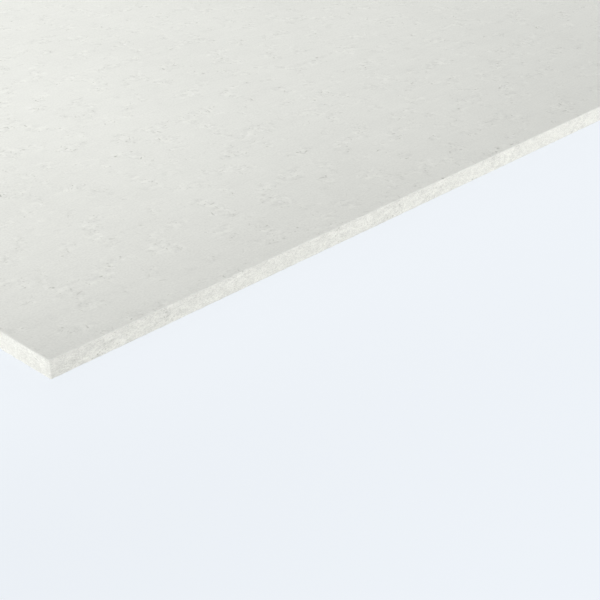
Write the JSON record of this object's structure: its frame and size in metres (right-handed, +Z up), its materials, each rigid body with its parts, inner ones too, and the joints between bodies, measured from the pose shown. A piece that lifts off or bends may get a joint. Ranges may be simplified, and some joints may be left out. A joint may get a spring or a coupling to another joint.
{
  "type": "gypsum fibreboard drywall sheet",
  "caption": "Flat rectangular drywall sheet of pressed gypsum and fibre, pale grey through its whole thickness, sawn square on all sides, for lining walls, ceilings and floors.",
  "frame": {"origin": "middle of the underside, which is the face that the sheet lies on", "axes": "+X along the length, +Y across the width, +Z up through the thickness"},
  "size_m": [1.5, 1, 0.0125],
  "materials": {
    "gypsum_fibre": "matt, sanded flat on its faces and sawn on its edges, pale grey flecked with fine darker fibre"
  },
  "bodies": {
    "root": {"drywall_sheet": "gypsum_fibre"}
  },
  "joints": []
}
